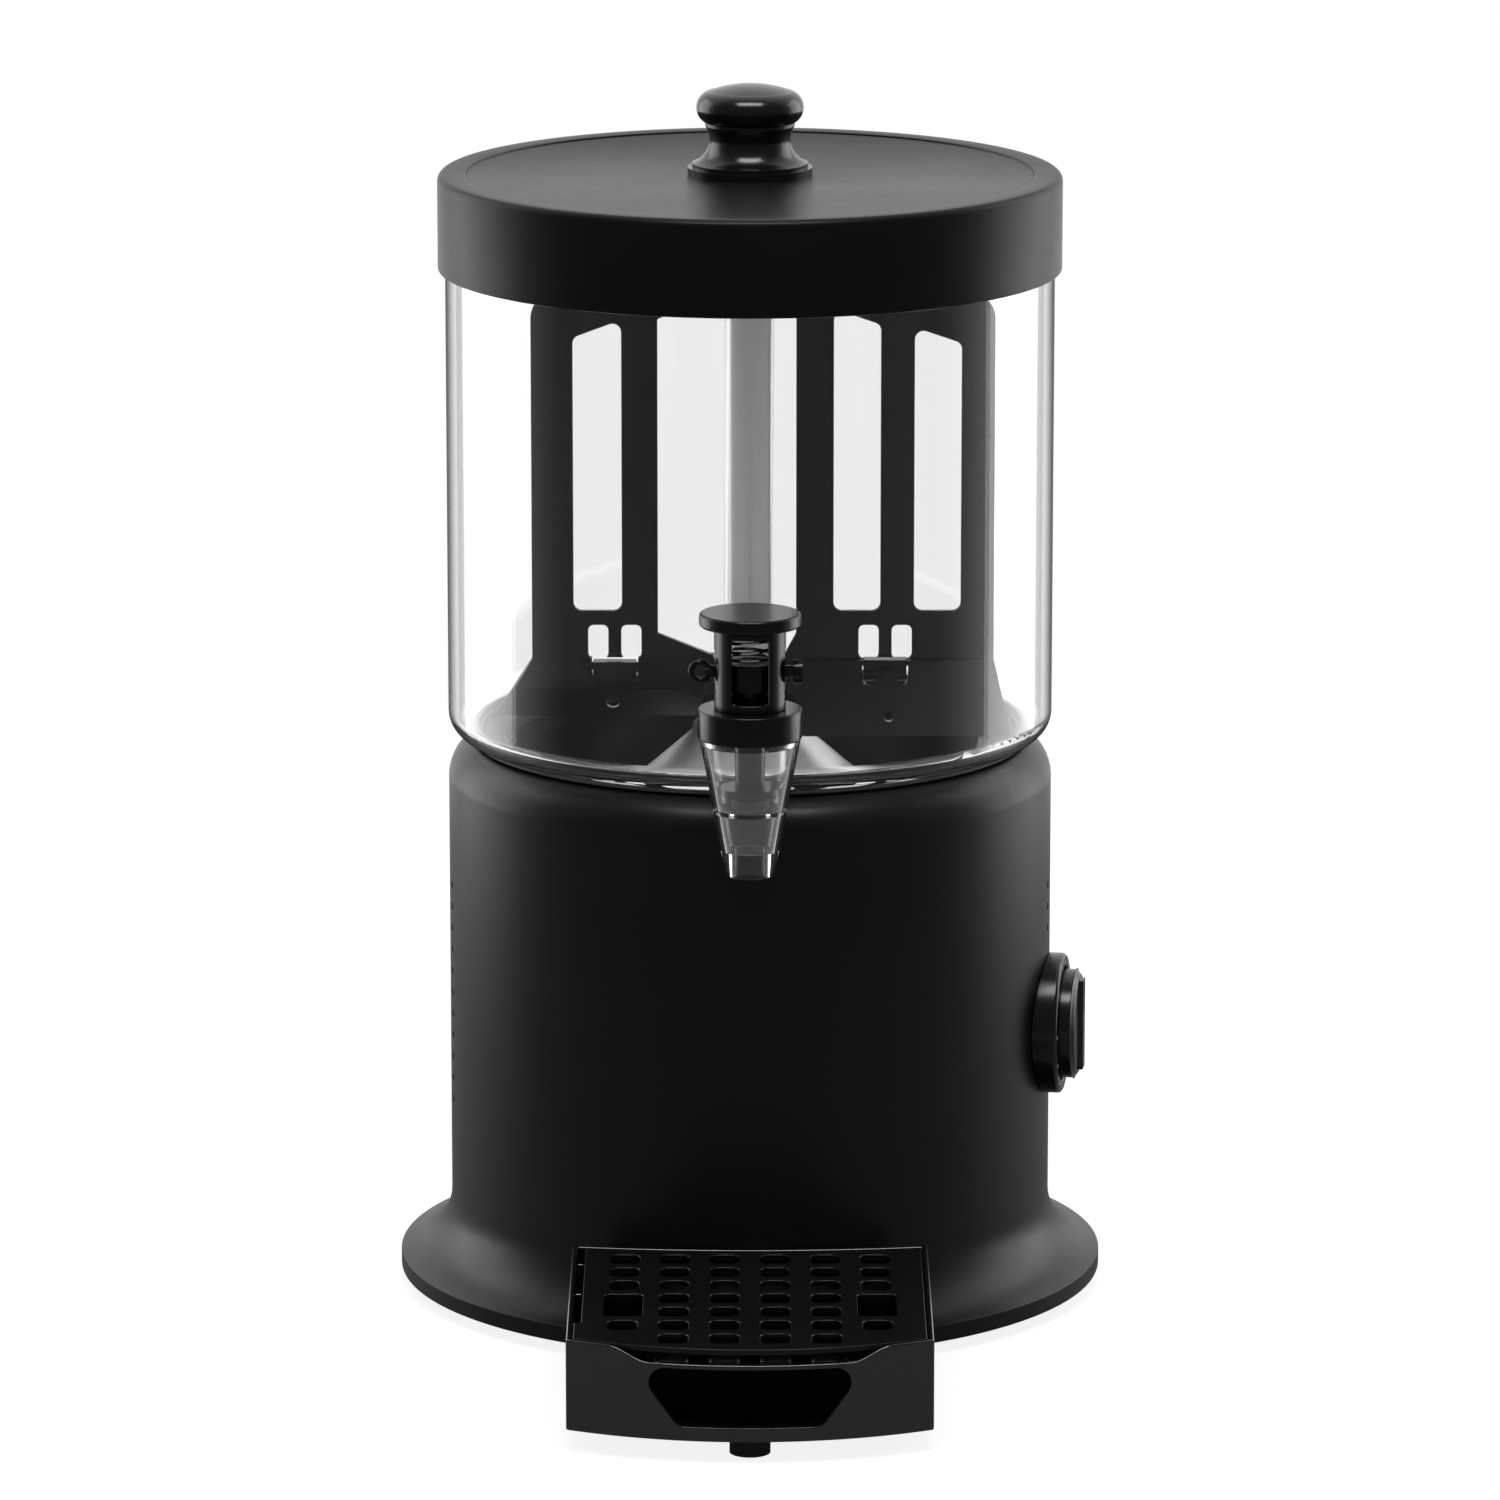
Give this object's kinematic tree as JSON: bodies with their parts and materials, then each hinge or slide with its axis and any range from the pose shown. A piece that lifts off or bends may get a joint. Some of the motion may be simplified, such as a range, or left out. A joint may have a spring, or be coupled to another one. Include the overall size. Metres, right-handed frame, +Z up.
{
  "type": "heated stirred drink dispenser",
  "caption": "Countertop drink dispenser: clear bowl with lift tap and knobbed lid on a round heated base with stirrer, thermostat dial and pull-out drip tray.",
  "frame": {"origin": "on the column's axis, at the counter that the rubber feet stand on", "axes": "+Z up, -Y towards the tap and the drip tray, +X towards the thermostat dial"},
  "size_m": [0.246, 0.3527, 0.4219],
  "materials": {
    "housing_black": "satin moulded black",
    "sheet_steel": "zinc plated",
    "screw_steel": "plated",
    "rubber_black": "matte",
    "pan_black": "glossy non-stick coating",
    "heater_aluminium": "raw",
    "element_steel": "heat tinted",
    "cutout_black": "moulded",
    "cone_aluminium": "satin",
    "bush_dark": "dark grey",
    "tube_steel": "polished along its length",
    "seal_red": "silicone",
    "gearbox_cast": "cast",
    "motor_can": "plated",
    "thermostat_black": "moulded",
    "dial_black": "semi-gloss",
    "terminal_ivory": "moulded",
    "shaft_steel": "ground",
    "stirrer_black": "semi-gloss moulded",
    "bowl_clear": "clear",
    "silicone_dark": "silicone",
    "tap_black": "gloss",
    "nozzle_clear": "clear",
    "spring_steel": "bright",
    "lid_black": "satin moulded black",
    "knob_black": "semi-gloss",
    "tray_black": "high gloss"
  },
  "bodies": {
    "base": {"base_housing": "housing_black", "base_plate": "sheet_steel", "base_plate_screws": "screw_steel", "rubber_feet": "rubber_black", "heating_pan": "pan_black", "pan_screws": "screw_steel", "heater_plate": "heater_aluminium", "heater_element": "element_steel", "thermal_cutout": "cutout_black", "drive_cone": "cone_aluminium", "column_foot_bush": "bush_dark", "shaft_tube": "tube_steel", "column_top_bush": "bush_dark", "shaft_seal": "seal_red", "motor_bracket": "sheet_steel", "gearbox": "gearbox_cast", "motor": "motor_can", "motor_screws": "screw_steel", "thermostat_body": "thermostat_black", "dial_bezel": "dial_black", "terminal_block": "terminal_ivory", "cord_gland": "rubber_black", "bowl_seal": "silicone_dark"},
    "stirrer": {"output_shaft": "shaft_steel", "shaft_coupling": "gearbox_cast", "drive_shaft": "shaft_steel", "shaft_cap": "stirrer_black", "paddle_frame": "stirrer_black", "scraper_left": "stirrer_black", "scraper_right": "stirrer_black"},
    "bowl": {"bowl": "bowl_clear", "tap_body": "tap_black", "tap_nozzle": "nozzle_clear", "tap_cage": "tap_black", "tap_cap": "tap_black", "tap_washers": "silicone_dark", "tap_nut": "tap_black", "tap_spring": "spring_steel"},
    "valve": {"tap_stem": "tap_black", "tap_plug": "silicone_dark", "tap_pin": "tap_black", "tap_clip": "tap_black"},
    "lid": {"lid_shell": "lid_black", "lid_knob": "knob_black", "lid_screw": "screw_steel"},
    "dial": {"dial_knob": "dial_black", "thermostat_spindle": "shaft_steel"},
    "tray": {"drip_tray": "tray_black", "tray_peg": "rubber_black"},
    "grid": {"drip_grid": "tray_black"}
  },
  "joints": [
    {"name": "stirrer_spin", "type": "hinge", "parent": "base", "child": "stirrer", "pos_m": [0, 0, 0.2], "axis": [0, 0, 1], "continuous": true},
    {"name": "bowl_lift", "type": "slide", "parent": "base", "child": "bowl", "axis": [0, 0, 1], "range_m": [0, 0.22]},
    {"name": "lid_lift", "type": "slide", "parent": "bowl", "child": "lid", "axis": [0, 0, 1], "range_m": [0, 0.06]},
    {"name": "tap_open", "type": "slide", "parent": "bowl", "child": "valve", "axis": [0, 0, 1], "range_m": [0, 0.005], "stiffness_N_per_m": 400, "springref_m": -0.004, "deforming": ["tap_spring"]},
    {"name": "thermostat_turn", "type": "hinge", "parent": "base", "child": "dial", "pos_m": [0.10879, -0.01626, 0.094], "axis": [0.989, -0.1478, 0], "range_deg": [-270, 0]},
    {"name": "tray_pull", "type": "slide", "parent": "base", "child": "tray", "axis": [0, -1, 0], "range_m": [0, 0.12]},
    {"name": "grid_lift", "type": "slide", "parent": "tray", "child": "grid", "axis": [0, 0, 1], "range_m": [0, 0.035]}
  ]
}
